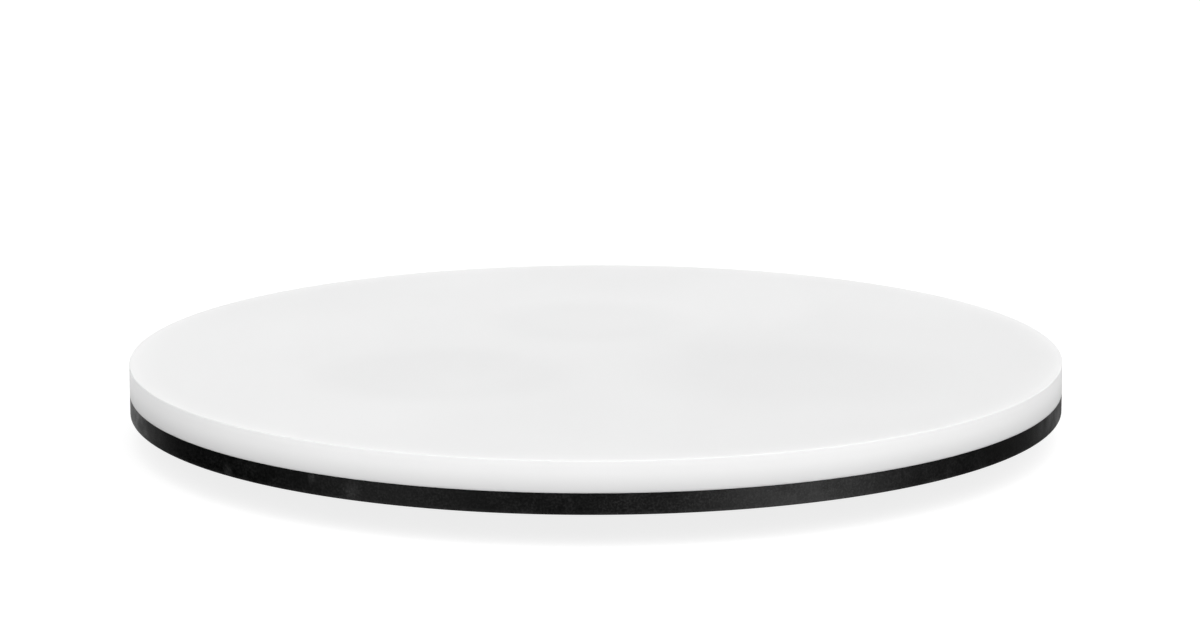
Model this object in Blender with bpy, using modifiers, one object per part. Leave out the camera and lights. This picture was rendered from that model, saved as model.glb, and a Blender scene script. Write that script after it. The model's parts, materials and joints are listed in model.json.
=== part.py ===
"""Lazy susan turntable: a bonded white and black disc that spins on a hidden aluminium ring bearing.

Metres, +Z up, origin on the spin axis at the plane that the rubber feet stand on. From the top down:
  top_plate       white solid-surface serving disc
  backing_disc    black board of the same diameter, bonded under it
  outer_ring      bearing ring screwed to the backing disc, turns with it
  ball_cage, balls
  inner_ring      bearing ring that stays still, standing on push-in rubber feet
Pieces that touch in the real object keep a gap of TOUCH between their solids.
"""

from math import cos, pi, radians, sin, sqrt

import bmesh
import bpy
from mathutils import Matrix

MM = 0.001
TOUCH = 0.3 * MM

# Driving dimensions
DISC_RADIUS = 190 * MM
PLATE_THICKNESS = 12 * MM
BACKING_THICKNESS = 8 * MM
BOND_LINE = 0.4 * MM  # gap for the layer of adhesive between the two discs
RING_THICKNESS = 8 * MM
RING_OUTER_RADIUS = 125 * MM
RING_INNER_RADIUS = 83 * MM
PITCH_RADIUS = 104 * MM
BALL_RADIUS = 1.984 * MM  # 5/32 in balls, which pass the set screw's tapped hole
BALL_COUNT = 24
FOOT_HEIGHT = 3 * MM
RUNNING_CLEARANCE = 0.7 * MM  # the turning ring stands this much higher than the still one
SCREW_COUNT = 6
FOOT_COUNT = 6

# Levels above the table, from the feet up
INNER_RING_BOTTOM = FOOT_HEIGHT + TOUCH
INNER_RING_TOP = INNER_RING_BOTTOM + RING_THICKNESS
OUTER_RING_BOTTOM = INNER_RING_BOTTOM + RUNNING_CLEARANCE
OUTER_RING_TOP = OUTER_RING_BOTTOM + RING_THICKNESS
RACE_LEVEL = (INNER_RING_BOTTOM + OUTER_RING_TOP) / 2
BACKING_BOTTOM = OUTER_RING_TOP + TOUCH
BACKING_TOP = BACKING_BOTTOM + BACKING_THICKNESS
PLATE_BOTTOM = BACKING_TOP + BOND_LINE
PLATE_TOP = PLATE_BOTTOM + PLATE_THICKNESS

# Edges of the two discs
PLATE_TOP_FILLET = 0.6 * MM
ARRIS = 0.2 * MM
BACKING_BOTTOM_FILLET = 0.5 * MM
DISC_SEGMENTS = 128

# Ball race: a 45 degree V groove with a flat floor, in both rings
HALF_RACE_GAP = 1.0 * MM
GROOVE_APEX = sqrt(2) * (BALL_RADIUS + TOUCH)
GROOVE_FLOOR = 2.8 * MM
RING_CHAMFER = 0.5 * MM
RING_SEGMENTS = 96

CAGE_HALF_WALL = 0.55 * MM
CAGE_HALF_HEIGHT = 3.0 * MM
POCKET_RADIUS = BALL_RADIUS + TOUCH
POCKET_SEGMENTS = 12

# M4 countersunk screws and their threaded inserts, which hold the outer ring under the backing disc
SCREW_CIRCLE = (PITCH_RADIUS + HALF_RACE_GAP + RING_OUTER_RADIUS) / 2
SCREW_RADIUS = 2.0 * MM
SCREW_LENGTH = 14 * MM
SCREW_HEAD_RADIUS = 4.0 * MM
SCREW_HEAD_RIM = 0.4 * MM
SCREW_HEAD_SINK = 0.2 * MM
SCREW_TIP_CHAMFER = 0.6 * MM
HEX_SOCKET_ACROSS = 2.5 * MM
HEX_SOCKET_DEPTH = 1.4 * MM
INSERT_RADIUS = 3.0 * MM
INSERT_LENGTH = 5.6 * MM
INSERT_HOLE_DEPTH = 6.6 * MM
SCREW_SEGMENTS = 16

# Rubber feet with a barbed stem, pushed up through the inner ring
FOOT_CIRCLE = (RING_INNER_RADIUS + PITCH_RADIUS - HALF_RACE_GAP) / 2
FOOT_RADIUS = 7.0 * MM
FOOT_ROUND = 0.8 * MM
STEM_RADIUS = 2.6 * MM
BARB_RADIUS = 4.0 * MM
BARB_HEIGHT = 1.4 * MM
COUNTERBORE_RADIUS = 4.8 * MM
COUNTERBORE_DEPTH = 2.2 * MM
FOOT_SEGMENTS = 16

# M5 set screw that closes the hole through which the balls were filled
PLUG_RADIUS = 2.5 * MM
PLUG_LENGTH = 16 * MM
PLUG_OUTER_END = 122.5 * MM
PLUG_CHAMFER = 0.5 * MM
PLUG_SOCKET_DEPTH = 2.8 * MM
FILL_HOLE_RADIUS = PLUG_RADIUS + TOUCH

BEYOND = 2 * MM  # how far a cutter runs past the wall that it cuts
SMOOTH_ANGLE = radians(35)
SAME_POINT = 0.00001

WHITE = (0.86, 0.86, 0.86)
BLACK = (0.012, 0.012, 0.012)
ALUMINIUM = (0.62, 0.63, 0.65)
STEEL = (0.55, 0.55, 0.56)
DARK_STEEL = (0.06, 0.06, 0.065)
BRASS = (0.71, 0.53, 0.25)
NYLON = (0.80, 0.78, 0.72)
RUBBER = (0.03, 0.03, 0.03)


def clear_scene():
    for obj in list(bpy.data.objects):
        bpy.data.objects.remove(obj)


def new_collection(name):
    collection = bpy.data.collections.new(name)
    bpy.context.scene.collection.children.link(collection)
    return collection


def new_material(name, colour, roughness, metallic=0.0):
    material = bpy.data.materials.new(name)
    material.use_nodes = True
    shader = material.node_tree.nodes["Principled BSDF"]
    shader.inputs["Base Color"].default_value = (*colour, 1)
    shader.inputs["Roughness"].default_value = roughness
    shader.inputs["Metallic"].default_value = metallic
    return material


def arc(centre_x, centre_z, radius, start, end, steps):
    """Points of an arc in the XZ plane, angles in degrees, both ends included."""
    angles = [radians(start + (end - start) * i / steps) for i in range(steps + 1)]
    return [(centre_x + radius * cos(a), centre_z + radius * sin(a)) for a in angles]


def ring_place(circle, angle, level=0.0):
    """Matrix that puts a piece modelled at the origin on a circle round the spin axis."""
    return Matrix.Rotation(angle, 4, "Z") @ Matrix.Translation((circle, 0, level))


def evenly(count, first=0.0):
    return [first + 2 * pi * i / count for i in range(count)]


def turned(name, profile, segments, collection, material=None, closed=False):
    """A profile of (radius, height) points turned about Z. It runs down its outer side."""
    mesh = bpy.data.meshes.new(name)
    ends = [(i, i + 1) for i in range(len(profile) - 1)]
    if closed:
        ends.append((len(profile) - 1, 0))
    mesh.from_pydata([(x, 0, z) for x, z in profile], ends, [])
    obj = bpy.data.objects.new(name, mesh)
    collection.objects.link(obj)
    if material:
        mesh.materials.append(material)
    screw = obj.modifiers.new("Turn", "SCREW")
    screw.steps = screw.render_steps = segments
    screw.use_merge_vertices = True
    screw.merge_threshold = SAME_POINT
    return obj


def cutters(name, places, radius, depth, segments, outer_radius=None):
    """One cutter mesh of round bars, each along its own Z from its place, tapering to outer_radius."""
    mesh = bpy.data.meshes.new(name)
    bars = bmesh.new()
    for place in places:
        bmesh.ops.create_cone(
            bars,
            cap_ends=True,
            segments=segments,
            radius1=radius,
            radius2=outer_radius or radius,
            depth=depth,
            matrix=place @ Matrix.Translation((0, 0, depth / 2)),
        )
    bars.to_mesh(mesh)
    bars.free()
    obj = bpy.data.objects.new(name, mesh)
    bpy.data.collections["cutters"].objects.link(obj)
    obj.hide_render = True
    obj.display_type = "WIRE"
    return obj


def cut(obj, cutter):
    boolean = obj.modifiers.new(cutter.name, "BOOLEAN")
    boolean.operation = "DIFFERENCE"
    boolean.object = cutter


def finished_mesh(obj):
    """The object's mesh with its modifiers applied, shaded smooth but for its sharp edges."""
    graph = bpy.context.evaluated_depsgraph_get()
    mesh = bpy.data.meshes.new_from_object(obj.evaluated_get(graph))
    mesh.shade_smooth()
    mesh.set_sharp_from_angle(angle=SMOOTH_ANGLE)
    return mesh


def finish(obj):
    mesh = finished_mesh(obj)
    obj.modifiers.clear()
    obj.data = mesh
    return obj


def copies(pattern, places, collection):
    """Replaces a pattern at the origin by one object at each place, all sharing its mesh."""
    mesh = finished_mesh(pattern)
    name = pattern.name
    bpy.data.objects.remove(pattern)
    mesh.name = name
    for number, place in enumerate(places, start=1):
        obj = bpy.data.objects.new(f"{name}_{number:02d}", mesh)
        obj.matrix_world = place
        collection.objects.link(obj)


def top_plate(collection, material):
    profile = [(0, PLATE_TOP)]
    profile += arc(
        DISC_RADIUS - PLATE_TOP_FILLET, PLATE_TOP - PLATE_TOP_FILLET, PLATE_TOP_FILLET, 90, 0, 2
    )
    profile += arc(DISC_RADIUS - ARRIS, PLATE_BOTTOM + ARRIS, ARRIS, 0, -90, 1)
    profile += [(0, PLATE_BOTTOM)]
    finish(turned("top_plate", profile, DISC_SEGMENTS, collection, material))


def backing_disc(collection, material, screw_places):
    fillet = BACKING_BOTTOM_FILLET
    profile = [(0, BACKING_TOP)]
    profile += arc(DISC_RADIUS - ARRIS, BACKING_TOP - ARRIS, ARRIS, 90, 0, 1)
    profile += arc(DISC_RADIUS - fillet, BACKING_BOTTOM + fillet, fillet, 0, -90, 3)
    profile += [(0, BACKING_BOTTOM)]
    disc = turned("backing_disc", profile, DISC_SEGMENTS, collection, material)
    below = Matrix.Translation((0, 0, BACKING_BOTTOM - BEYOND))
    insert_holes = cutters(
        "insert_holes",
        [below @ place for place in screw_places],
        INSERT_RADIUS + TOUCH,
        INSERT_HOLE_DEPTH + BEYOND,
        SCREW_SEGMENTS,
    )
    cut(disc, insert_holes)
    finish(disc)


def groove(face, depth_sign):
    """Race groove, bottom to top. depth_sign is +1 where the ring lies outside the race, else -1."""
    reach_at_face = GROOVE_APEX - HALF_RACE_GAP
    reach_at_floor = GROOVE_APEX - GROOVE_FLOOR
    floor = PITCH_RADIUS + depth_sign * GROOVE_FLOOR
    return [
        (face, RACE_LEVEL - reach_at_face),
        (floor, RACE_LEVEL - reach_at_floor),
        (floor, RACE_LEVEL + reach_at_floor),
        (face, RACE_LEVEL + reach_at_face),
    ]


def outer_ring(collection, material, screw_places, fill_angle):
    """Turning ring, with the race in its inner face."""
    outside = RING_OUTER_RADIUS
    inside = PITCH_RADIUS + HALF_RACE_GAP
    bottom, top, chamfer = OUTER_RING_BOTTOM, OUTER_RING_TOP, RING_CHAMFER
    profile = [
        (outside - chamfer, top),
        (outside, top - chamfer),
        (outside, bottom + chamfer),
        (outside - chamfer, bottom),
        (inside, bottom),
        *groove(inside, 1),
        (inside, top),
    ]
    ring = turned("outer_ring", profile, RING_SEGMENTS, collection, material, closed=True)
    below = Matrix.Translation((0, 0, bottom - BEYOND))
    starts = [below @ place for place in screw_places]
    shank = SCREW_RADIUS + TOUCH
    holes = cutters("screw_holes", starts, shank, RING_THICKNESS + 2 * BEYOND, SCREW_SEGMENTS)
    mouth = SCREW_HEAD_RADIUS + SCREW_HEAD_RIM + SCREW_HEAD_SINK + sqrt(2) * TOUCH + BEYOND
    sinks = cutters("countersinks", starts, mouth, mouth - SCREW_RADIUS, SCREW_SEGMENTS, SCREW_RADIUS)
    lie_radially = Matrix.Rotation(pi / 2, 4, "Y")
    fill_place = ring_place(PITCH_RADIUS, fill_angle, RACE_LEVEL) @ lie_radially
    fill_length = RING_OUTER_RADIUS - PITCH_RADIUS + BEYOND
    fill_hole = cutters("fill_hole", [fill_place], FILL_HOLE_RADIUS, fill_length, SCREW_SEGMENTS)
    for cutter in (holes, sinks, fill_hole):
        cut(ring, cutter)
    finish(ring)


def inner_ring(collection, material, foot_places):
    """Still ring, with the race in its outer face and stepped holes for the feet."""
    outside = PITCH_RADIUS - HALF_RACE_GAP
    inside = RING_INNER_RADIUS
    bottom, top, chamfer = INNER_RING_BOTTOM, INNER_RING_TOP, RING_CHAMFER
    profile = [
        (outside, top),
        *reversed(groove(outside, -1)),
        (outside, bottom),
        (inside + chamfer, bottom),
        (inside, bottom + chamfer),
        (inside, top - chamfer),
        (inside + chamfer, top),
    ]
    ring = turned("inner_ring", profile, RING_SEGMENTS, collection, material, closed=True)
    below = Matrix.Translation((0, 0, bottom - BEYOND))
    step = Matrix.Translation((0, 0, top - COUNTERBORE_DEPTH))
    stem_holes = cutters(
        "stem_holes",
        [below @ place for place in foot_places],
        STEM_RADIUS + TOUCH,
        RING_THICKNESS + 2 * BEYOND,
        FOOT_SEGMENTS,
    )
    counterbores = cutters(
        "counterbores",
        [step @ place for place in foot_places],
        COUNTERBORE_RADIUS,
        COUNTERBORE_DEPTH + BEYOND,
        FOOT_SEGMENTS,
    )
    cut(ring, stem_holes)
    cut(ring, counterbores)
    finish(ring)


def ball_cage(collection, material, ball_angles):
    """Thin nylon strip ring between the two rings, with a round pocket for each ball."""
    inside, outside = PITCH_RADIUS - CAGE_HALF_WALL, PITCH_RADIUS + CAGE_HALF_WALL
    bottom, top = RACE_LEVEL - CAGE_HALF_HEIGHT, RACE_LEVEL + CAGE_HALF_HEIGHT
    profile = [(outside, top), (outside, bottom), (inside, bottom), (inside, top)]
    cage = turned("ball_cage", profile, RING_SEGMENTS, collection, material, closed=True)
    lie_radially = Matrix.Rotation(pi / 2, 4, "Y")
    starts = [
        ring_place(inside - BEYOND, angle, RACE_LEVEL) @ lie_radially for angle in ball_angles
    ]
    through = 2 * (CAGE_HALF_WALL + BEYOND)
    cut(cage, cutters("ball_pockets", starts, POCKET_RADIUS, through, POCKET_SEGMENTS))
    finish(cage)


def balls(collection, material, ball_angles):
    mesh = bpy.data.meshes.new("ball")
    sphere = bmesh.new()
    bmesh.ops.create_icosphere(sphere, subdivisions=2, radius=BALL_RADIUS)
    sphere.to_mesh(mesh)
    sphere.free()
    mesh.materials.append(material)
    ball = bpy.data.objects.new("ball", mesh)
    collection.objects.link(ball)
    copies(ball, [ring_place(PITCH_RADIUS, angle, RACE_LEVEL) for angle in ball_angles], collection)


def hexagon_cutter(name, across, depth, place):
    """Cutter for a hexagon socket, from BEYOND below the place upwards."""
    start = place @ Matrix.Translation((0, 0, -BEYOND))
    return cutters(name, [start], across / sqrt(3), depth + BEYOND, 6)


def ring_screws(collection, material, screw_places):
    """Countersunk M4 screws, head down. The head's face is at the origin of the pattern."""
    head = SCREW_HEAD_RADIUS
    cone_end = SCREW_HEAD_RIM + head - SCREW_RADIUS
    profile = [
        (0, SCREW_LENGTH),
        (SCREW_RADIUS - SCREW_TIP_CHAMFER, SCREW_LENGTH),
        (SCREW_RADIUS, SCREW_LENGTH - SCREW_TIP_CHAMFER),
        (SCREW_RADIUS, cone_end),
        (head, SCREW_HEAD_RIM),
        (head, 0),
        (0, 0),
    ]
    screw = turned("ring_screw", profile, SCREW_SEGMENTS, collection, material)
    cut(screw, hexagon_cutter("screw_socket", HEX_SOCKET_ACROSS, HEX_SOCKET_DEPTH, Matrix()))
    level = Matrix.Translation((0, 0, OUTER_RING_BOTTOM + SCREW_HEAD_SINK))
    copies(screw, [level @ place for place in screw_places], collection)


def threaded_inserts(collection, material, screw_places):
    bore = SCREW_RADIUS + TOUCH
    profile = [
        (INSERT_RADIUS, INSERT_LENGTH),
        (INSERT_RADIUS, 0),
        (bore, 0),
        (bore, INSERT_LENGTH),
    ]
    insert = turned("threaded_insert", profile, SCREW_SEGMENTS, collection, material, closed=True)
    level = Matrix.Translation((0, 0, BACKING_BOTTOM + TOUCH))
    copies(insert, [level @ place for place in screw_places], collection)


def rubber_feet(collection, material, foot_places):
    """Push-in feet: a pad under the ring, a stem through it, and a barb in its counterbore."""
    barb_bottom = INNER_RING_TOP - COUNTERBORE_DEPTH + TOUCH
    profile = [(0, barb_bottom + BARB_HEIGHT), (STEM_RADIUS, barb_bottom + BARB_HEIGHT)]
    profile += [(BARB_RADIUS, barb_bottom), (STEM_RADIUS, barb_bottom), (STEM_RADIUS, FOOT_HEIGHT)]
    profile += [(FOOT_RADIUS, FOOT_HEIGHT)]
    profile += arc(FOOT_RADIUS - FOOT_ROUND, FOOT_ROUND, FOOT_ROUND, 0, -90, 2)
    profile += [(0, 0)]
    foot = turned("rubber_foot", profile, FOOT_SEGMENTS, collection, material)
    copies(foot, foot_places, collection)


def ball_fill_plug(collection, material, fill_angle):
    """Set screw in the fill hole, its hexagon socket facing out."""
    profile = [
        (0, PLUG_LENGTH),
        (PLUG_RADIUS - PLUG_CHAMFER, PLUG_LENGTH),
        (PLUG_RADIUS, PLUG_LENGTH - PLUG_CHAMFER),
        (PLUG_RADIUS, 0),
        (0, 0),
    ]
    plug = turned("ball_fill_plug", profile, SCREW_SEGMENTS, collection, material)
    cut(plug, hexagon_cutter("plug_socket", HEX_SOCKET_ACROSS, PLUG_SOCKET_DEPTH, Matrix()))
    finish(plug)
    face_outwards = Matrix.Rotation(-pi / 2, 4, "Y")
    plug.matrix_world = ring_place(PLUG_OUTER_END, fill_angle, RACE_LEVEL) @ face_outwards


def main():
    clear_scene()
    parts = new_collection("lazy_susan")
    new_collection("cutters")
    white = new_material("white_solid_surface", WHITE, 0.35)
    black = new_material("black_board", BLACK, 0.5)
    aluminium = new_material("anodised_aluminium", ALUMINIUM, 0.35, 1.0)
    steel = new_material("bearing_steel", STEEL, 0.15, 1.0)
    dark_steel = new_material("black_oxide_steel", DARK_STEEL, 0.4, 1.0)
    brass = new_material("brass", BRASS, 0.3, 1.0)
    nylon = new_material("natural_nylon", NYLON, 0.5)
    rubber = new_material("black_rubber", RUBBER, 0.8)

    half_step = pi / SCREW_COUNT
    screw_places = [ring_place(SCREW_CIRCLE, angle) for angle in evenly(SCREW_COUNT, half_step)]
    foot_places = [ring_place(FOOT_CIRCLE, angle) for angle in evenly(FOOT_COUNT)]
    ball_angles = evenly(BALL_COUNT)
    fill_angle = 0.0

    top_plate(parts, white)
    backing_disc(parts, black, screw_places)
    outer_ring(parts, aluminium, screw_places, fill_angle)
    inner_ring(parts, aluminium, foot_places)
    ball_cage(parts, nylon, ball_angles)
    balls(parts, steel, ball_angles)
    ring_screws(parts, dark_steel, screw_places)
    threaded_inserts(parts, brass, screw_places)
    rubber_feet(parts, rubber, foot_places)
    ball_fill_plug(parts, dark_steel, fill_angle)


main()
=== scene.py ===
"""Looks of the lazy susan turntable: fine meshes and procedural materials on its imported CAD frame.

Metres, +Z up, the spin axis on Z. Places and main sizes are read from the boxes of the frame's
nodes, and each fine piece stands for the CAD node that it is named after.
"""

import json
from math import atan2, cos, pi, radians, sin, sqrt

import bmesh
import bpy
from mathutils import Matrix, Vector


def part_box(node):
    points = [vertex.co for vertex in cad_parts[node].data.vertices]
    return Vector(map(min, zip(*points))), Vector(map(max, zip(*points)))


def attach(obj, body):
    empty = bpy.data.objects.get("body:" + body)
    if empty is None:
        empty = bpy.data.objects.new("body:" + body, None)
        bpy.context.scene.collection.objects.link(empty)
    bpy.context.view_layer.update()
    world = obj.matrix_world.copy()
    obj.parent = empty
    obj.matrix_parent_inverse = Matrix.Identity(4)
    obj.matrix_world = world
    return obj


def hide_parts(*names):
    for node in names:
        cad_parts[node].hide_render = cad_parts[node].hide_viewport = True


MM = 0.001
FULL_TURN = 2 * pi

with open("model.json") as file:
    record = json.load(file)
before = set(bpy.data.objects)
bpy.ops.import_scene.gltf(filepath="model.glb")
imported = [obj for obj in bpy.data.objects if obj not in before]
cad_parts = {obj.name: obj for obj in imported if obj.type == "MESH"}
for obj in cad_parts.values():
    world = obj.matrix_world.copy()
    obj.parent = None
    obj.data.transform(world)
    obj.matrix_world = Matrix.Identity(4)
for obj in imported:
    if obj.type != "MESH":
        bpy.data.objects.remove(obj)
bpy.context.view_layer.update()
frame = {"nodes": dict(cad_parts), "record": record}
record = frame["record"]


# ---------------------------------------------------------------- places and sizes from the frame


def low(node):
    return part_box(node)[0]


def high(node):
    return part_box(node)[1]


def middle(node):
    return (low(node) + high(node)) / 2


def numbered(stem):
    """The frame's nodes stem_01, stem_02 and so on."""
    return sorted(node for node in frame["nodes"] if node[:-3] == stem)


def angle_of(node):
    centre = middle(node)
    return atan2(centre.y, centre.x)


BODY_OF = {node: body for body, nodes in record["behaviour"]["bodies"].items() for node in nodes}

DISC_RADIUS = high("top_plate").x
PLATE_TOP = high("top_plate").z
BACKING_BOTTOM = low("backing_disc").z
BOND_LEVEL = (low("top_plate").z + high("backing_disc").z) / 2

PITCH_RADIUS = middle("ball_01").x
RACE_LEVEL = middle("ball_01").z
BALL_RADIUS = (high("ball_01").z - low("ball_01").z) / 2
INNER_RING_OUTSIDE = high("inner_ring").x
OUTER_RING_OUTSIDE = high("outer_ring").x
OUTER_RING_INSIDE = 2 * PITCH_RADIUS - INNER_RING_OUTSIDE
SCREW_CIRCLE = (OUTER_RING_OUTSIDE + OUTER_RING_INSIDE) / 2
FOOT_CIRCLE = middle("rubber_foot_01").x
INNER_RING_INSIDE = 2 * FOOT_CIRCLE - INNER_RING_OUTSIDE
SCREW_LEVEL = low("ring_screw_01").z

# Sizes that the boxes don't give
SLIP = 0.02 * MM  # gap between pieces that touch
SAME_POINT = 0.002 * MM  # points closer than this are merged
CUTTER_START = 1.0 * MM  # cutters start this far outside the face that they cut
CONE_END = 1.0 * MM  # radius at which a countersinking cone ends
HOLE_CHAMFER = 0.3 * MM
HOLE_SIDES = 48
COUNTERSINK_SIDES = 64

RING_CHAMFER = 0.5 * MM
EDGE_BREAK = 0.12 * MM
RING_SEGMENTS = 288
BALL_PLAY = 0.05 * MM
GROOVE_FLOOR = 2.4 * MM  # the groove's flat floor, from the pitch radius
CAGE_ROUNDING = 0.25 * MM
POCKET_PLAY = 0.15 * MM
POCKET_SIDES = 40
POCKET_ROUNDING = 0.12 * MM

M4_RADIUS, M4_MINOR, M4_PITCH = 1.97 * MM, 1.57 * MM, 0.7 * MM
M5_RADIUS, M5_MINOR, M5_PITCH = 2.47 * MM, 2.01 * MM, 0.8 * MM
THREAD_CREST, THREAD_ROOT = 1 / 16, 1 / 8  # half widths of their flats, as shares of the pitch
ROWS_PER_THREAD = 10
THREAD_SEGMENTS = 48
HEXAGON_ACROSS = 2.5 * MM
SOCKET_CHAMFER = 0.1 * MM
SOCKET_CHAMFER_SIDES = 36
DRILL_SIDES = 24
DRILL_POINT = 0.05 * MM
SCREW_SOCKET_DEPTH = 1.4 * MM
PLUG_SOCKET_DEPTH = 2.8 * MM
HEAD_RADIUS = 4.0 * MM
HEAD_RIM = 0.4 * MM  # height of the countersunk head's straight rim
HEAD_ROUNDING = 0.1 * MM
THREAD_RELIEF = 0.5 * MM  # plain length between a thread and the face or head beside it
SCREW_POINT = (0.6 * MM, 0.7 * MM)  # taper of the tip: how far inside the thread's root, how long
CLEARANCE_HOLE = 2.2 * MM
PLUG_CUP = (1.2 * MM, 1.35 * MM, 0.7 * MM)  # inner and outer radius of the cup's lip, and its depth
PLUG_BEVEL = (0.25 * MM, 0.3 * MM)  # bevel round the socket's face: how far inside the root, how high

INSERT_RADIUS = 3.0 * MM
INSERT_NECK = 2.55 * MM
INSERT_HOLE_DEPTH = 6.6 * MM
INSERT_LEAD_IN = 0.2 * MM  # how much wider than the screw the bore's mouth is
INSERT_LEAD_OUT = 0.4 * MM  # length of the bore's plain upper end
KNURL_TEETH = 24
KNURL_DEPTH = 0.25 * MM
KNURL_LEAN = 2  # teeth that a knurl's slant would cross over the insert's length
KNURL_ROWS = 6
SEGMENTS_PER_TOOTH = 4

STEM_HOLE = 2.8 * MM
COUNTERBORE_RADIUS = 4.8 * MM
COUNTERBORE_DEPTH = 2.2 * MM
COUNTERBORE_SIDES = 64
BARB_RADIUS = 4.0 * MM
BARB_HEIGHT = 1.5 * MM
BARB_DIMPLE = 0.5 * MM
PAD_SHOULDER = 0.5 * MM
PAD_BEVEL = 0.9 * MM
TREAD_GROOVES = (4.9 * MM, 3.2 * MM)  # radii of their middles
TREAD_HALF_WIDTHS = (0.3 * MM, 0.45 * MM)  # at a groove's floor and at its mouth
TREAD_DEPTH = 0.5 * MM
FOOT_ROUNDING = 0.14 * MM
FOOT_SEGMENTS = 64


# ---------------------------------------------------------------- mesh helpers


def along(start, end, steps):
    """Evenly spaced values from start to end, both included."""
    return [start + (end - start) * i / steps for i in range(steps + 1)]


def arc(centre_x, centre_z, radius, start, end, steps):
    """Points of an arc in the XZ plane, angles in degrees, both ends included."""
    angles = [radians(degrees) for degrees in along(start, end, steps)]
    return [(centre_x + radius * cos(a), centre_z + radius * sin(a)) for a in angles]


def round_axis(radius, degrees, height):
    """The point at this angle round the spin axis."""
    return radius * cos(radians(degrees)), radius * sin(radians(degrees)), height


def eased(corners, reach, closed=False, steps=3):
    """An outline with its corners rounded off, each from this far before it to this far after it.

    An outline that isn't closed keeps its two ends.
    """
    rows = []
    for i, corner in enumerate(corners):
        if not closed and i in (0, len(corners) - 1):
            rows.append(corner)
            continue
        corner = Vector(corner)
        before = (Vector(corners[i - 1]) - corner).normalized() * reach
        after = (Vector(corners[(i + 1) % len(corners)]) - corner).normalized() * reach
        rows += [tuple(corner + before * (1 - t) ** 2 + after * t ** 2) for t in along(0, 1, steps)]
    return rows


def linked(name, mesh):
    """A new object for a bmesh, which is freed."""
    obj = bpy.data.objects.new(name, bpy.data.meshes.new(name))
    mesh.to_mesh(obj.data)
    mesh.free()
    bpy.context.scene.collection.objects.link(obj)
    return obj


def turned(name, rows, segments, closed=False):
    """A turned surface. Its rows run down the outer side, from axis to axis or, if closed, in a loop.

    A row is a point (radius, height), or a function that gives one from the angle, so that it can
    wander as a thread or a knurl does.
    """
    mesh = bmesh.new()
    loops = []
    for row in rows:
        places = [row(FULL_TURN * i / segments) if callable(row) else row for i in range(segments)]
        if places[0][0] == 0:
            places = places[:1]
        turns = [FULL_TURN * i / segments for i in range(len(places))]
        loops.append([mesh.verts.new((r * cos(a), r * sin(a), z)) for (r, z), a in zip(places, turns)])
    pairs = list(zip(loops, loops[1:]))
    if closed:
        pairs.append((loops[-1], loops[0]))
    for upper, lower in pairs:
        for i in range(segments):
            j = (i + 1) % segments
            left = (upper[i % len(upper)], lower[i % len(lower)])
            right = (lower[j % len(lower)], upper[j % len(upper)])
            mesh.faces.new(dict.fromkeys(left + right))
    return linked(name, mesh)


def bars(places, radius, length, sides, end_radius=None):
    """Round or many-sided bars, each along its own Z from its place, as one object to cut with."""
    mesh = bmesh.new()
    for place in places:
        bmesh.ops.create_cone(
            mesh,
            cap_ends=True,
            segments=sides,
            radius1=radius,
            radius2=end_radius or radius,
            depth=length,
            matrix=place @ Matrix.Translation((0, 0, length / 2)),
        )
    return linked("cutter", mesh)


def sinks(places, mouth, sides):
    """45 degree cones that countersink a face to this radius. They start CUTTER_START outside it."""
    radius = mouth + CUTTER_START
    return bars(places, radius, radius - CONE_END, sides, CONE_END)


def baked(obj):
    """Applies the object's modifiers, and merges points that all but coincide."""
    graph = bpy.context.evaluated_depsgraph_get()
    mesh = bmesh.new()
    mesh.from_object(obj, graph)
    bmesh.ops.remove_doubles(mesh, verts=mesh.verts, dist=SAME_POINT)
    mesh.to_mesh(obj.data)
    mesh.free()
    obj.modifiers.clear()


def cut(obj, cutters):
    """Cuts each cutter out of the object for good, and removes the cutters."""
    for cutter in cutters:
        boolean = obj.modifiers.new("cut", "BOOLEAN")
        boolean.operation = "DIFFERENCE"
        boolean.object = cutter
    baked(obj)
    for cutter in cutters:
        bpy.data.objects.remove(cutter)


def soften(obj, width, sharp_above):
    """Rounds the sharp edges, as a moulded piece has them."""
    bevel = obj.modifiers.new("soften", "BEVEL")
    bevel.width = width
    bevel.segments = 2
    bevel.limit_method = "ANGLE"
    bevel.angle_limit = sharp_above
    baked(obj)


def shade(obj, sharp_above=radians(40)):
    """Smooth shading in which the large faces set the normals, so that flat faces look flat."""
    obj.data.shade_smooth()
    obj.data.set_sharp_from_angle(angle=sharp_above)
    weighted = obj.modifiers.new("weighted", "WEIGHTED_NORMAL")
    weighted.keep_sharp = True
    graph = bpy.context.evaluated_depsgraph_get()
    obj.data = bpy.data.meshes.new_from_object(obj.evaluated_get(graph))
    obj.modifiers.clear()


def on_circle(circle, angle, level):
    """Matrix that puts a piece modelled at the origin on a circle round the spin axis."""
    return Matrix.Rotation(angle, 4, "Z") @ Matrix.Translation((circle, 0, level))


def stand_for(obj, node):
    """The piece stands in for a CAD node: it joins the node's body, and the node is hidden."""
    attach(obj, BODY_OF[node])
    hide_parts(node)


def finish(obj, node, material):
    """Shades a piece, gives it its material, and lets it stand for a CAD node."""
    shade(obj)
    obj.data.materials.append(material)
    stand_for(obj, node)


def stand_for_each(pattern, nodes, places, material):
    """One object at each node's place, all sharing the pattern's mesh."""
    shade(pattern)
    mesh = pattern.data
    mesh.materials.append(material)
    bpy.data.objects.remove(pattern)
    for node, place in zip(nodes, places):
        obj = bpy.data.objects.new(node + "_fine", mesh)
        bpy.context.scene.collection.objects.link(obj)
        obj.matrix_world = place
        stand_for(obj, node)


# ---------------------------------------------------------------- material helpers


NOISE_SPAN = (0.3, 0.7)  # nearly all values of a noise lie between these


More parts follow.
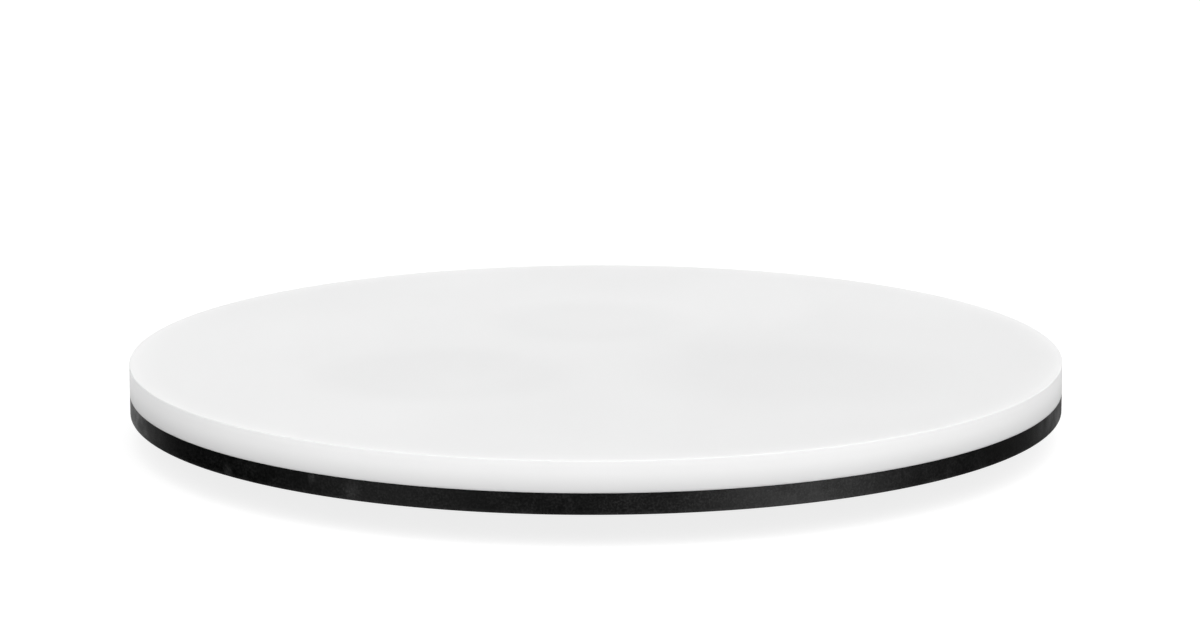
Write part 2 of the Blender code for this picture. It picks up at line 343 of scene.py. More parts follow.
class Nodes:
    """A node tree, with short ways to add nodes and join them."""

    def __init__(self, tree):
        self.tree = tree

    def put(self, socket, value):
        """A constant, or another node's output, into a socket."""
        if isinstance(value, bpy.types.NodeSocket):
            self.tree.links.new(value, socket)
        else:
            socket.default_value = value

    def node(self, kind, inputs, **settings):
        """A new node. inputs holds (socket name or number, value) pairs."""
        made = self.tree.nodes.new("ShaderNode" + kind)
        for name, value in settings.items():
            setattr(made, name, value)
        for name, value in inputs:
            self.put(made.inputs[name], value)
        return made

    def math(self, operation, *values):
        return self.node("Math", enumerate(values), operation=operation).outputs[0]

    def add(self, *values):
        return self.math("ADD", *values)

    def times(self, *values):
        return self.math("MULTIPLY", *values)

    def spread(self, value, from_low, from_high, to_low, to_high):
        """Maps a range of values smoothly to another one, and holds its ends."""
        inputs = enumerate([value, from_low, from_high, to_low, to_high])
        return self.node("MapRange", inputs, interpolation_type="SMOOTHSTEP").outputs["Result"]

    def compare(self, operation, vector, other):
        """A number from two vectors: their DISTANCE or DOT_PRODUCT."""
        inputs = [(0, vector), (1, other)]
        return self.node("VectorMath", inputs, operation=operation).outputs["Value"]


class Shader(Nodes):
    """A material and its Principled shader, with plain values that the other nodes then vary."""

    def __init__(self, name, colour, roughness, metallic=0.0, **constants):
        self.material = bpy.data.materials.new(name)
        self.material.use_nodes = True
        super().__init__(self.material.node_tree)
        self.principled = self.tree.nodes["Principled BSDF"]
        self.set("Base Color", (*colour, 1))
        self.set("Roughness", roughness)
        self.set("Metallic", metallic)
        for socket, value in constants.items():
            self.set(socket.replace("_", " "), value)

    def set(self, socket, value):
        """A constant, or another node's output, into one of the Principled shader's sockets."""
        self.put(self.principled.inputs[socket], value)

    def place(self):
        """Position on the piece, which turns with it."""
        return self.node("TexCoord", []).outputs["Object"]

    def join(self, x, y, z):
        return self.node("CombineXYZ", [("X", x), ("Y", y), ("Z", z)]).outputs["Vector"]

    def radius_and_height(self, vector):
        """Distance from the piece's own Z axis, and height, of a point on it."""
        x, y, z = self.node("SeparateXYZ", [("Vector", vector)]).outputs
        radius = self.math("SQRT", self.add(self.times(x, x), self.times(y, y)))
        return radius, z

    def noise(self, vector, scale, detail=2.0, roughness=0.5, distortion=0.0):
        inputs = [("Vector", vector), ("Scale", scale), ("Detail", detail)]
        inputs += [("Roughness", roughness), ("Distortion", distortion)]
        return self.node("TexNoise", inputs).outputs["Fac"]

    def blend(self, factor, first, second):
        """Between two RGB colours, by a factor from 0 to 1."""
        made = self.node("Mix", [(0, factor)], data_type="RGBA")
        made.inputs[6].default_value = (*first, 1)
        made.inputs[7].default_value = (*second, 1)
        return made.outputs[2]

    def grey(self, value):
        inputs = [("Red", value), ("Green", value), ("Blue", value)]
        return self.node("CombineColor", inputs).outputs["Color"]

    def bump(self, height, distance, strength, under=None):
        """Relief of the height's full swing, over another relief if one is given."""
        inputs = [("Height", height), ("Distance", distance), ("Strength", strength)]
        if under:
            inputs.append(("Normal", under))
        return self.node("Bump", inputs).outputs["Normal"]


# ---------------------------------------------------------------- materials

PLATE_WHITE = 0.85
PLATE_CLOUDS = (PLATE_WHITE - 0.001, PLATE_WHITE + 0.002)
PAINTED_SHADE_PATCHES = (  # painted shade: darker patches on the top; each one's place, even core and reach, as shares of the disc's radius; its darkening
    (0.33, 92, 0.14, 0.28, 0.027),
    (0.39, 214, 0.18, 0.33, 0.026),
    (0.47, 332, 0.15, 0.42, 0.026),
    (0.82, 325, 0.50, 1.05, 0.028),
)
PAINTED_RIM_LIGHT = (  # painted light: a brighter ring along the rim; how far from the rim each one starts and is full; its brightening
    (14 * MM, 1 * MM, 0.018),
    (5 * MM, 1.5 * MM, 0.018),
)
SIDE_SHADE_AT_JOINT = 0.815  # painted shade: the side's share of the white, where it meets the black disc
SIDE_SHADE_CHANGES = (  # painted shade on the side: heights between which that share changes, and by how much
    # painted shade: the side darkens towards the black disc
    (BOND_LEVEL, PLATE_TOP - 4 * MM, 0.14),
    # painted shade: a slightly darker band just under the top edge, which dims its highlight
    (PLATE_TOP - 1.8 * MM, PLATE_TOP - 0.4 * MM, -0.03),
    (PLATE_TOP - 0.06 * MM, PLATE_TOP, 0.075),
)

BOARD_GREY = 0.011
PAINTED_EDGE_LIGHT = (1.6 * MM, 0.012)  # painted reflection: height of the lighter band along the lower edge, as if it mirrored the floor, and its grey
SCUFF_GREY = 0.024
SCUFFS = (  # angle, height over the disc's lower face, and reach of each rubbed spot on its edge
    (241.5, 3.6 * MM, 5.5 * MM),
    (236.0, 6.4 * MM, 3.0 * MM),
    (222.5, 2.4 * MM, 3.5 * MM),
    (22.0, 4.0 * MM, 4.5 * MM),
    (131.0, 2.6 * MM, 5.0 * MM),
)


def solid_surface():
    """Satin white solid surface. Some light passes through it; besides that, a rim glow (painted
    light), a side that dims towards the black disc (painted shade) and a few darker patches on top
    (painted shade) are painted into its colour.
    """
    shader = Shader(
        "white_solid_surface", (PLATE_WHITE,) * 3, 0.38, Subsurface_Weight=0.6, Subsurface_Scale=5 * MM
    )
    shader.set("Subsurface Radius", (1.0, 1.0, 1.0))
    place = shader.place()
    radius, height = shader.radius_and_height(place)

    white = shader.spread(shader.noise(place, 9.0, 3.0), *NOISE_SPAN, *PLATE_CLOUDS)
    # painted shade: darker patches on the top
    for share, degrees, core, reach, darkening in PAINTED_SHADE_PATCHES:
        centre = round_axis(share * DISC_RADIUS, degrees, PLATE_TOP)
        apart = shader.compare("DISTANCE", place, centre)
        patch_shade = shader.spread(apart, core * DISC_RADIUS, reach * DISC_RADIUS, -darkening, 0.0)
        white = shader.add(white, patch_shade)
    # painted light: the top brightens towards its rim
    for begins, full, brightening in PAINTED_RIM_LIGHT:
        glow = shader.spread(radius, DISC_RADIUS - begins, DISC_RADIUS - full, 0.0, brightening)
        white = shader.add(white, glow)
    # painted shade: the side darker towards the black disc and just under the top edge
    side = SIDE_SHADE_AT_JOINT
    for bottom, top, change in SIDE_SHADE_CHANGES:
        side = shader.add(side, shader.spread(height, bottom, top, 0.0, change))
    shader.set("Base Color", shader.grey(shader.times(white, side)))

    wiped = shader.noise(place, 14.0, 3.0, 0.6)
    shader.set("Roughness", shader.spread(wiped, *NOISE_SPAN, 0.35, 0.42))
    pores = shader.bump(shader.noise(place, 2600.0, 1.0), 0.02 * MM, 0.25)
    swirls = shader.noise(place, 420.0, 3.0, 0.6, 1.5)
    shader.set("Normal", shader.bump(swirls, 0.03 * MM, 0.12, under=pores))
    return shader.material


def black_board():
    """Through-dyed black board: fibrous and mottled, with a few scuffs, and a lighter lower edge that
    is a painted reflection of the floor.
    """
    shader = Shader("black_board", (0.004,) * 3, 0.36, Specular_IOR_Level=0.25)
    place = shader.place()
    _, height = shader.radius_and_height(place)

    fibre = shader.noise(place, 1200.0, 3.0, 0.7)
    mottle = shader.noise(place, 90.0, 4.0, 0.7)
    broad = shader.noise(place, 16.0, 2.0)
    tone = shader.spread(fibre, 0.40, 0.72, 0.0, BOARD_GREY)
    tone = shader.times(tone, shader.spread(mottle, *NOISE_SPAN, 0.6, 1.45))
    tone = shader.times(tone, shader.spread(broad, *NOISE_SPAN, 0.75, 1.25))
    # painted reflection: a lighter band along the lower edge, varied by the mottle
    band, edge_light_grey = PAINTED_EDGE_LIGHT
    edge_light = shader.spread(height, BACKING_BOTTOM, BACKING_BOTTOM + band, edge_light_grey, 0.0)
    tone = shader.add(tone, shader.times(edge_light, shader.spread(mottle, 0.35, 0.65, 0.3, 1.0)))
    for degrees, up, reach in SCUFFS:
        centre = round_axis(DISC_RADIUS, degrees, BACKING_BOTTOM + up)
        near = shader.spread(shader.compare("DISTANCE", place, centre), 0.0, reach, SCUFF_GREY, 0.0)
        tone = shader.add(tone, shader.times(near, shader.spread(fibre, 0.3, 0.75, 0.2, 1.0)))
    shader.set("Base Color", shader.grey(tone))

    shader.set("Roughness", shader.spread(mottle, *NOISE_SPAN, 0.28, 0.44))
    coarse = shader.bump(mottle, 0.3 * MM, 0.25)
    shader.set("Normal", shader.bump(fibre, 0.09 * MM, 0.9, under=coarse))
    return shader.material


def turned_aluminium():
    """Lathe-turned aluminium: fine grooves round the axis, lightly stained."""
    shader = Shader("turned_aluminium", (0.62, 0.63, 0.65), 0.3, 1.0)
    place = shader.place()
    radius, height = shader.radius_and_height(place)
    across = shader.join(radius, height, 0.0)
    shader.set("Roughness", shader.spread(shader.noise(across, 300.0), *NOISE_SPAN, 0.24, 0.36))
    stain = shader.spread(shader.noise(place, 30.0, 3.0, 0.6), 0.35, 0.7, 0.0, 1.0)
    shader.set("Base Color", shader.blend(stain, (0.64, 0.65, 0.67), (0.56, 0.57, 0.59)))
    grooves = shader.noise(across, 3500.0, 3.0, 0.7)
    shader.set("Normal", shader.bump(grooves, 0.02 * MM, 0.6))
    return shader.material


def bearing_steel():
    """Polished ball steel with a thin film of oil and faint running marks."""
    shader = Shader("bearing_steel", (0.60, 0.60, 0.61), 0.08, 1.0)
    place = shader.place()
    film = shader.noise(place, 500.0)
    shader.set("Roughness", shader.spread(film, 0.35, 0.7, 0.06, 0.16))
    marks = shader.noise(place, 2500.0, 3.0, 0.7, 0.8)
    shader.set("Normal", shader.bump(marks, 0.004 * MM, 0.4))
    return shader.material


def natural_nylon():
    """Milky nylon with a moulded grain."""
    shader = Shader(
        "natural_nylon", (0.80, 0.78, 0.72), 0.5, Subsurface_Weight=0.3, Subsurface_Scale=1 * MM
    )
    place = shader.place()
    clouds = shader.spread(shader.noise(place, 90.0), *NOISE_SPAN, 0.0, 1.0)
    shader.set("Base Color", shader.blend(clouds, (0.82, 0.80, 0.74), (0.74, 0.72, 0.65)))
    shader.set("Normal", shader.bump(shader.noise(place, 1800.0), 0.01 * MM, 0.5))
    return shader.material


def black_oxide_steel():
    """Black-oxide screws, rubbed back to bare steel in places round the head's rim."""
    shader = Shader("black_oxide_steel", (0.06, 0.06, 0.065), 0.38, 1.0)
    place = shader.place()
    radius, _ = shader.radius_and_height(place)
    rubbed = shader.spread(shader.noise(place, 900.0, 3.0), 0.45, 0.6, 0.0, 1.0)
    rim = shader.spread(radius, HEAD_RADIUS - 0.3 * MM, HEAD_RADIUS, 0.0, 0.8)
    rubbed = shader.times(rim, rubbed)
    shader.set("Base Color", shader.blend(rubbed, (0.055, 0.055, 0.06), (0.42, 0.42, 0.43)))
    shader.set("Roughness", shader.spread(shader.noise(place, 400.0), *NOISE_SPAN, 0.3, 0.48))
    shader.set("Normal", shader.bump(shader.noise(place, 3000.0), 0.008 * MM, 0.5))
    return shader.material


def machined_brass():
    """Machined brass that has dulled a little."""
    shader = Shader("machined_brass", (0.71, 0.53, 0.25), 0.3, 1.0)
    place = shader.place()
    tarnish = shader.spread(shader.noise(place, 500.0, 3.0), 0.35, 0.7, 0.0, 1.0)
    shader.set("Base Color", shader.blend(tarnish, (0.74, 0.56, 0.27), (0.55, 0.39, 0.18)))
    shader.set("Roughness", shader.spread(tarnish, 0.0, 1.0, 0.22, 0.4))
    shader.set("Normal", shader.bump(shader.noise(place, 2600.0), 0.006 * MM, 0.5))
    return shader.material


def moulded_rubber():
    """Matt black rubber with a fine moulded grain and a trace of dust."""
    shader = Shader("moulded_rubber", (0.02,) * 3, 0.75, Specular_IOR_Level=0.35)
    place = shader.place()
    dust = shader.spread(shader.noise(place, 260.0, 4.0, 0.7), 0.5, 0.8, 0.0, 1.0)
    shader.set("Base Color", shader.blend(dust, (0.018, 0.018, 0.018), (0.05, 0.048, 0.045)))
    shader.set("Roughness", shader.spread(dust, 0.0, 1.0, 0.7, 0.88))
    shader.set("Normal", shader.bump(shader.noise(place, 1600.0, 3.0), 0.03 * MM, 0.6))
    return shader.material


# ---------------------------------------------------------------- the two discs

DISC_SEGMENTS = 512
TOP_EDGE_FILLET = 0.35 * MM
LOWER_FILLET = 0.2 * MM
FILLET_STEPS = 8
BOND_ARRIS = 0.05 * MM
ARRIS_STEPS = 2
JOINT_LINE = 0.01 * MM  # each disc stops this far from the bond level
SUPPORT = 0.25 * MM  # a loop this far inside a fillet keeps the flat beside it flat in the shading
WALL_INSET = 0.5 * MM  # the wall's rows stop this far from the bond side of a disc
PLATE_WALL_STEPS = 6
BACKING_WALL_STEPS = 4
FLAT_LOOPS = (0.1, 0.25, 0.45, 0.65, 0.82, 0.93)  # shares of the disc's radius


def flat_face(level, edge_radius):
    """Rows of a flat face, from the axis to a support loop just inside its edge."""
    loops = [share * DISC_RADIUS for share in FLAT_LOOPS] + [edge_radius - SUPPORT]
    return [(radius, level) for radius in [0, *loops]]


def top_plate(material):
    """The white disc: a crisp top edge, and a lightly eased one where it meets the black disc."""
    bottom = BOND_LEVEL + JOINT_LINE
    fillet = TOP_EDGE_FILLET
    rows = flat_face(PLATE_TOP, DISC_RADIUS - fillet)
    rows += arc(DISC_RADIUS - fillet, PLATE_TOP - fillet, fillet, 90, 0, FILLET_STEPS)
    wall = along(PLATE_TOP - fillet - SUPPORT, bottom + WALL_INSET, PLATE_WALL_STEPS)
    rows += [(DISC_RADIUS, z) for z in wall]
    rows += arc(DISC_RADIUS - BOND_ARRIS, bottom + BOND_ARRIS, BOND_ARRIS, 0, -90, ARRIS_STEPS)
    rows += reversed(flat_face(bottom, DISC_RADIUS - BOND_ARRIS))
    plate = turned("top_plate_fine", rows, DISC_SEGMENTS)
    finish(plate, "top_plate", material)


def backing_disc(material):
    """The black disc, with a countersunk blind hole for each threaded insert in its underside."""
    top = BOND_LEVEL - JOINT_LINE
    fillet = LOWER_FILLET
    rows = flat_face(top, DISC_RADIUS - BOND_ARRIS)
    rows += arc(DISC_RADIUS - BOND_ARRIS, top - BOND_ARRIS, BOND_ARRIS, 90, 0, ARRIS_STEPS)
    wall = along(top - WALL_INSET, BACKING_BOTTOM + fillet + SUPPORT, BACKING_WALL_STEPS)
    rows += [(DISC_RADIUS, z) for z in wall]
    rows += arc(DISC_RADIUS - fillet, BACKING_BOTTOM + fillet, fillet, 0, -90, FILLET_STEPS)
    rows += reversed(flat_face(BACKING_BOTTOM, DISC_RADIUS - fillet))
    disc = turned("backing_disc_fine", rows, DISC_SEGMENTS)
    below = screw_places(BACKING_BOTTOM - CUTTER_START)
    holes = bars(below, INSERT_RADIUS + SLIP, CUTTER_START + INSERT_HOLE_DEPTH, HOLE_SIDES)
    cut(disc, [holes, sinks(below, INSERT_RADIUS + HOLE_CHAMFER, HOLE_SIDES)])
    finish(disc, "backing_disc", material)


# ---------------------------------------------------------------- fasteners


def threaded(radius, minor, pitch, top, bottom, faded=True):
    """Rows of a right-hand screw thread, from top to bottom. It fades in over a turn at both ends."""

    def row(z):
        fade = min(1, (top - z) / pitch, (z - bottom) / pitch) if faded else 1

        def place(angle):
            from_crest = abs((z / pitch - angle / FULL_TURN) % 1 - 0.5)
            rise = (0.5 - THREAD_ROOT - from_crest) / (0.5 - THREAD_ROOT - THREAD_CREST)
            return minor + (radius - minor) * fade * min(max(rise, 0), 1), z

        return place

    return [row(z) for z in along(top, bottom, round((top - bottom) / pitch * ROWS_PER_THREAD))]


def socket_cutters(depth):
    """A hexagon socket with a chamfered mouth and a drilled bottom, cut upwards from the origin."""
    start = Matrix.Translation((0, 0, -CUTTER_START))
    bottom = Matrix.Translation((0, 0, depth))
    to_corner = HEXAGON_ACROSS / sqrt(3)
    return [
        bars([start], to_corner, CUTTER_START + depth, 6),
        sinks([start], to_corner + SOCKET_CHAMFER, SOCKET_CHAMFER_SIDES),
        bars([bottom], HEXAGON_ACROSS / 2, HEXAGON_ACROSS / 4, DRILL_SIDES, DRILL_POINT),
    ]


def screw_places(level):
    return [on_circle(SCREW_CIRCLE, angle_of(node), level) for node in numbered("ring_screw")]


def ring_screws(material):
    """M4 countersunk socket screws, modelled head down with the head's face at the origin."""
    length = high("ring_screw_01").z - SCREW_LEVEL
    taper, taper_length = SCREW_POINT
    neck = HEAD_RIM + HEAD_RADIUS - M4_RADIUS
    head = [(M4_RADIUS, neck), (HEAD_RADIUS, HEAD_RIM), (HEAD_RADIUS, 0), (0, 0)]
    rows = [(0, length), (M4_MINOR - taper, length)]
    rows += threaded(M4_RADIUS, M4_MINOR, M4_PITCH, length - taper_length, neck + THREAD_RELIEF)
    rows += eased(head, HEAD_ROUNDING)[:-1]
    rows += [(share * HEAD_RADIUS, 0) for share in (0.9, 0.7, 0.5, 0)]
    screw = turned("ring_screw_pattern", rows, THREAD_SEGMENTS)
    cut(screw, socket_cutters(SCREW_SOCKET_DEPTH))
    stand_for_each(screw, numbered("ring_screw"), screw_places(SCREW_LEVEL), material)


def threaded_inserts(material):
    """Brass inserts with two slanted bands of knurl, and a thread that fits the screw's."""
    length = high("threaded_insert_01").z - low("threaded_insert_01").z

    def knurled(z, slant):
        def place(angle):
            tooth = (angle / FULL_TURN * KNURL_TEETH + slant * z / length) % 1
            return INSERT_RADIUS - KNURL_DEPTH * abs(2 * tooth - 1), z

        return place

    def necks(*shares):
        return [(INSERT_NECK, share * length) for share in shares]

    rows = necks(1, 0.95)
    rows += [knurled(z, KNURL_LEAN) for z in along(length * 0.90, length * 0.58, KNURL_ROWS)]
    rows += necks(0.54, 0.46)
    rows += [knurled(z, -KNURL_LEAN) for z in along(length * 0.42, length * 0.16, KNURL_ROWS)]
    rows += necks(0.12, 0.08)
    rows += [(INSERT_RADIUS, length * 0.05), (INSERT_RADIUS, 0), (M4_RADIUS + INSERT_LEAD_IN, 0)]
    lift = low("threaded_insert_01").z - SCREW_LEVEL
    bore_top = lift + length - INSERT_LEAD_OUT
    bore = threaded(M4_RADIUS + SLIP, M4_MINOR + SLIP, M4_PITCH, bore_top, lift + THREAD_RELIEF)
    rows += [lowered(row, lift) for row in reversed(bore)]
    rows.append((M4_RADIUS, length))
    insert = turned("insert_pattern", rows, KNURL_TEETH * SEGMENTS_PER_TOOTH, closed=True)
    places = screw_places(low("threaded_insert_01").z)
    stand_for_each(insert, numbered("threaded_insert"), places, material)


def lowered(row, drop):
    """A row that is a function, moved down."""

    def place(angle):
        radius, z = row(angle)
        return radius, z - drop

    return place


def plug_place():
    """Where the set screw lies: radial in the turning ring, its socket facing out."""
    return on_circle(high("ball_fill_plug").x, 0, RACE_LEVEL) @ Matrix.Rotation(-pi / 2, 4, "Y")


def ball_fill_plug(material):
    """M5 set screw with a cup point, modelled with its socket at the origin."""
    length = high("ball_fill_plug").x - low("ball_fill_plug").x
    lip_inside, lip_outside, cup_depth = PLUG_CUP
    face_bevel, bevel_height = PLUG_BEVEL
    rows = [(0, length - cup_depth), (lip_inside, length), (lip_outside, length)]
    rows += threaded(M5_RADIUS, M5_MINOR, M5_PITCH, length - cup_depth, bevel_height)
    rows += [(M5_MINOR - face_bevel, 0), (0, 0)]
    plug = turned("ball_fill_plug_fine", rows, THREAD_SEGMENTS)
    cut(plug, socket_cutters(PLUG_SOCKET_DEPTH))
    plug.matrix_world = plug_place()
    finish(plug, "ball_fill_plug", material)


# ---------------------------------------------------------------- the bearing


def groove(face, side):
    """V groove of the ball race, bottom to top. side is 1 in the outer ring and -1 in the inner one."""
    apex = sqrt(2) * (BALL_RADIUS + BALL_PLAY)
    floor = PITCH_RADIUS + side * GROOVE_FLOOR
    at_face = apex - abs(face - PITCH_RADIUS)
    at_floor = apex - GROOVE_FLOOR
    return [
        (face, RACE_LEVEL - at_face),
        (floor, RACE_LEVEL - at_floor),
        (floor, RACE_LEVEL + at_floor),
        (face, RACE_LEVEL + at_face),
    ]


def turned_ring(name, corners, rounding):
    """A ring turned from this section, with its corners rounded off."""
    return turned(name, eased(corners, rounding, closed=True), RING_SEGMENTS, closed=True)


def outer_ring(material):
    """Turning ring, seated under the backing disc: countersunk for its screws, tapped for the plug."""
    bottom, top = low("outer_ring").z, BACKING_BOTTOM - SLIP
    outside, inside, chamfer = OUTER_RING_OUTSIDE, OUTER_RING_INSIDE, RING_CHAMFER
    corners = [
        (outside - chamfer, top),
        (outside, top - chamfer),
        (outside, bottom + chamfer),
        (outside - chamfer, bottom),
        (inside, bottom),
        *groove(inside, 1),
        (inside, top),
    ]
    ring = turned_ring("outer_ring_fine", corners, EDGE_BREAK)
    below = screw_places(bottom - CUTTER_START)
    holes = bars(below, CLEARANCE_HOLE, top - bottom + 2 * CUTTER_START, HOLE_SIDES)
    mouth = HEAD_RADIUS + HEAD_RIM + (SCREW_LEVEL - bottom) + sqrt(2) * SLIP
    cut(ring, [holes, sinks(below, mouth, COUNTERSINK_SIDES), plug_tap(outside, inside)])
    finish(ring, "outer_ring", material)


def plug_tap(outside, inside):
    """Cutter for the plug's tapped hole: right through the ring, and flared at its outer face."""
    outer_end = high("ball_fill_plug").x
    outer_face, end = outer_end - outside, outer_end - inside + CUTTER_START
    thread_end = outer_face + HOLE_CHAMFER
    rows = [(0, end)]
    rows += threaded(M5_RADIUS + SLIP, M5_MINOR + SLIP, M5_PITCH, end, thread_end, faded=False)
    rows += [(M5_RADIUS + HOLE_CHAMFER + CUTTER_START, outer_face - CUTTER_START)]
    rows += [(0, outer_face - CUTTER_START)]
    tap = turned("cutter", rows, THREAD_SEGMENTS)
    tap.matrix_world = plug_place()
    return tap


def inner_ring(material):
    """Still ring, with a stepped hole for each foot."""
    bottom, top = low("inner_ring").z, high("inner_ring").z
    outside, inside, chamfer = INNER_RING_OUTSIDE, INNER_RING_INSIDE, RING_CHAMFER
    corners = [
        (outside, top),
        *reversed(groove(outside, -1)),
        (outside, bottom),
        (inside + chamfer, bottom),
        (inside, bottom + chamfer),
        (inside, top - chamfer),
        (inside + chamfer, top),
    ]
    ring = turned_ring("inner_ring_fine", corners, EDGE_BREAK)
    below = foot_places(bottom - CUTTER_START)
    step = foot_places(top - COUNTERBORE_DEPTH)
    rim = foot_places(top - HOLE_CHAMFER)
    wide, flare = COUNTERBORE_RADIUS, 2 * HOLE_CHAMFER
    cutters = [
        bars(below, STEM_HOLE, top - bottom + 2 * CUTTER_START, HOLE_SIDES),
        bars(step, wide, COUNTERBORE_DEPTH + CUTTER_START, COUNTERBORE_SIDES),
        bars(rim, wide, flare, COUNTERBORE_SIDES, wide + flare),
    ]
    cut(ring, cutters)
    finish(ring, "inner_ring", material)


def ball_angles():
    return [angle_of(node) for node in numbered("ball")]


def ball_cage(material):
    """Moulded strip ring with softened edges and a round pocket for each ball."""
    low_corner, high_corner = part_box("ball_cage")
    outside = high_corner.x
    inside = 2 * PITCH_RADIUS - outside
    corners = [
        (outside, high_corner.z),
        (outside, low_corner.z),
        (inside, low_corner.z),
        (inside, high_corner.z),
    ]
    cage = turned_ring("ball_cage_fine", corners, CAGE_ROUNDING)
    lie_radially = Matrix.Rotation(pi / 2, 4, "Y")
    starts = [on_circle(inside - CUTTER_START, a, RACE_LEVEL) @ lie_radially for a in ball_angles()]
    through = outside - inside + 2 * CUTTER_START
    cut(cage, [bars(starts, BALL_RADIUS + POCKET_PLAY, through, POCKET_SIDES)])
    soften(cage, POCKET_ROUNDING, sharp_above=radians(55))
    finish(cage, "ball_cage", material)


def balls(material):
    """Ground steel balls, which all share one finely divided sphere."""
    mesh = bmesh.new()
    bmesh.ops.create_icosphere(mesh, subdivisions=4, radius=BALL_RADIUS)
    places = [on_circle(PITCH_RADIUS, angle, RACE_LEVEL) for angle in ball_angles()]
    stand_for_each(linked("ball_pattern", mesh), numbered("ball"), places, material)


def foot_places(level):
    return [on_circle(FOOT_CIRCLE, angle_of(node), level) for node in numbered("rubber_foot")]


def rubber_feet(material):
    """Push-in feet: a ribbed pad, a stem through the ring, and a mushroom barb that holds it."""
    flange = low("inner_ring").z - SLIP
    step = high("inner_ring").z - COUNTERBORE_DEPTH + SLIP
    crown = step + BARB_HEIGHT
    stem = STEM_HOLE - SLIP
    pad = (high("rubber_foot_01").x - low("rubber_foot_01").x) / 2
    corners = [
        (0, crown - BARB_DIMPLE),
        (0.9 * MM, crown - BARB_DIMPLE),
        (1.1 * MM, crown),
        (stem - 0.3 * MM, crown),
        (BARB_RADIUS, step + 0.5 * MM),
        (BARB_RADIUS, step),
        (stem, step),
        (stem, flange),
        (pad - PAD_SHOULDER, flange),
        (pad, flange - PAD_SHOULDER),
        (pad, PAD_BEVEL),
        (pad - PAD_BEVEL, 0),
    ]
    floor_half, mouth_half = TREAD_HALF_WIDTHS
    for middle_radius in TREAD_GROOVES:
        corners += [(middle_radius + mouth_half, 0), (middle_radius + floor_half, TREAD_DEPTH)]
        corners += [(middle_radius - floor_half, TREAD_DEPTH), (middle_radius - mouth_half, 0)]
    corners.append((0, 0))
    foot = turned("rubber_foot_pattern", eased(corners, FOOT_ROUNDING), FOOT_SEGMENTS)
    stand_for_each(foot, numbered("rubber_foot"), foot_places(0), material)


# ---------------------------------------------------------------- camera, lights and floor

CAMERA_DISTANCE = 9.0 * DISC_RADIUS
CAMERA_ELEVATION = radians(12.04)
CAMERA_PITCH = radians(11.46)
CAMERA_YAW = radians(0.06)
CAMERA_ROLL = radians(-0.134)
CAMERA_LENS = 125.25  # focal length and sensor width, in millimetres
CAMERA_SENSOR = 36

GLOWS = (  # in degrees, azimuth to the right of the camera, elevation, even core, reach; strength
    (0, 90, 0, 75, 1.0),  # overhead
    (60, 50, 0, 60, 0.96),  # the high key light, from the right
    (-50, 20, 10, 45, 0.46),
    (0, 20, 10, 45, 0.62),
    (180, 0, 20, 55, 0.43),  # the rear one, which the top mirrors
    (50, -22, 12, 27, 2.58),  # softboxes below the level of the table, which only the sides mirror
    (-50, -22, 12, 27, 0.56),
    (105, -22, 5, 30, 0.07),
    (-166, -22, 10, 25, 0.4),
)
OVERHEAD_SIZE = 2.0
OVERHEAD_HEIGHT = 2.2
OVERHEAD_POWER = 5
FLOOR_RADIUS = 10
DOME_RADIUS = 11
DOME_END = -20  # where its lower edge lies, in degrees from the floor's level
STAGE_SEGMENTS = 64


def make_camera():
    """A long lens a little above the table."""
    data = bpy.data.cameras.new("camera")
    data.lens = CAMERA_LENS
    data.sensor_width = CAMERA_SENSOR
    camera = bpy.data.objects.new("camera", data)
    bpy.context.scene.collection.objects.link(camera)
    back = CAMERA_DISTANCE * cos(CAMERA_ELEVATION)
    up = CAMERA_DISTANCE * sin(CAMERA_ELEVATION)
    aim = Matrix.Rotation(-CAMERA_YAW, 4, "Z") @ Matrix.Rotation(pi / 2 - CAMERA_PITCH, 4, "X")
    aim = aim @ Matrix.Rotation(CAMERA_ROLL, 4, "Z")
    camera.matrix_world = Matrix.Translation((0, -back, PLATE_TOP + up)) @ aim
    bpy.context.scene.camera = camera


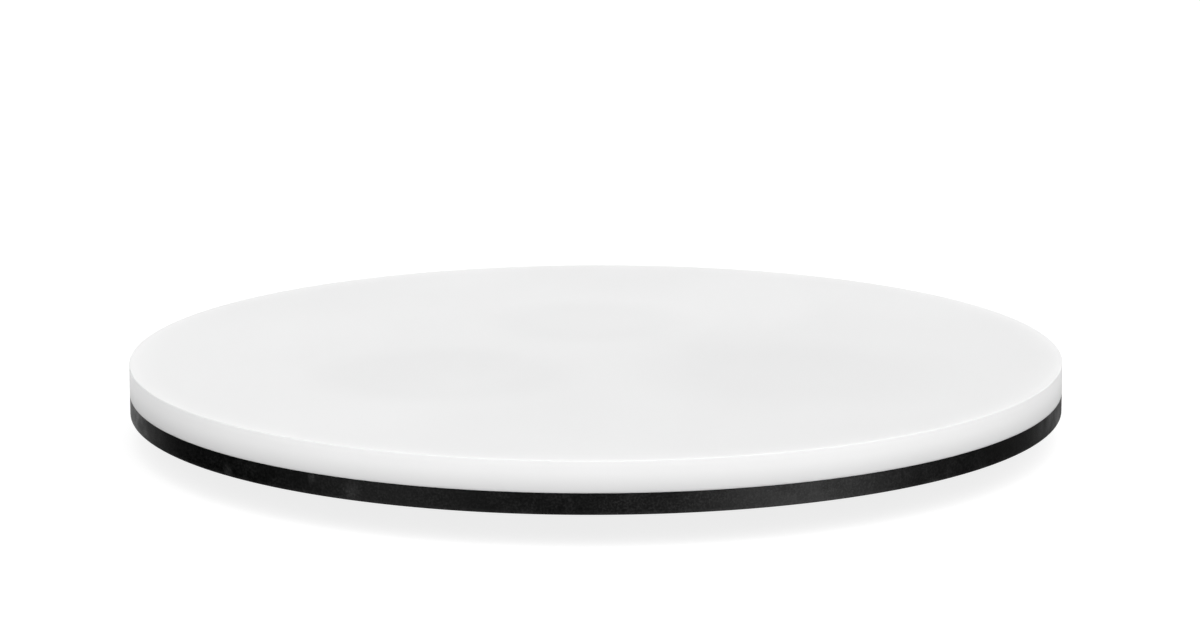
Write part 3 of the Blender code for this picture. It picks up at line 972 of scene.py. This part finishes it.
def overhead_light():
    """A large square light above the turntable."""
    data = bpy.data.lights.new("overhead", "AREA")
    data.size = OVERHEAD_SIZE
    data.energy = OVERHEAD_POWER
    light = bpy.data.objects.new("overhead", data)
    light.location = (0, 0, OVERHEAD_HEIGHT)
    light.visible_camera = False
    bpy.context.scene.collection.objects.link(light)


def surroundings():
    """A dark room with a broad soft glow for each of GLOWS."""
    world = bpy.data.worlds.new("studio")
    bpy.context.scene.world = world
    world.use_nodes = True
    nodes = Nodes(world.node_tree)
    direction = nodes.node("TexCoord", []).outputs["Generated"]
    total = 0.0
    for azimuth, elevation, core, reach, strength in GLOWS:
        up = radians(elevation)
        towards = round_axis(cos(up), azimuth - 90, sin(up))
        facing = nodes.compare("DOT_PRODUCT", direction, towards)
        glow = nodes.spread(facing, cos(radians(reach)), cos(radians(core)), 0.0, strength)
        total = nodes.add(glow, total)
    background = world.node_tree.nodes["Background"]
    nodes.put(background.inputs["Color"], (1, 1, 1, 1))
    nodes.put(background.inputs["Strength"], total)


def glowing(name, strength, albedo):
    """A pale matt material that also glows."""
    shader = Shader(name, (albedo,) * 3, 1.0, Specular_IOR_Level=0.0, Emission_Strength=strength)
    shader.set("Emission Color", (1, 1, 1, 1))
    return shader.material


def floor_and_backdrop():
    """A pale floor and a white dome. Only the camera sees the dome, and the top mirrors neither."""
    floor = turned("floor", [(0, 0), (1, 0), (FLOOR_RADIUS, 0)], STAGE_SEGMENTS)
    floor.data.materials.append(glowing("pale_floor", 0.82, 0.3))
    floor.visible_glossy = False
    dome = turned("backdrop", arc(0, 0, DOME_RADIUS, 90, DOME_END, 24), STAGE_SEGMENTS)
    dome.data.materials.append(glowing("white_backdrop", 1.0, 0.0))
    dome.visible_diffuse = False
    dome.visible_glossy = False
    dome.visible_transmission = False
    dome.visible_shadow = False


def main():
    make_camera()
    surroundings()
    floor_and_backdrop()
    overhead_light()
    bpy.context.scene.view_settings.view_transform = "Standard"

    top_plate(solid_surface())
    backing_disc(black_board())
    aluminium = turned_aluminium()
    outer_ring(aluminium)
    inner_ring(aluminium)
    ball_cage(natural_nylon())
    balls(bearing_steel())
    dark_steel = black_oxide_steel()
    ring_screws(dark_steel)
    ball_fill_plug(dark_steel)
    threaded_inserts(machined_brass())
    rubber_feet(moulded_rubber())


main()
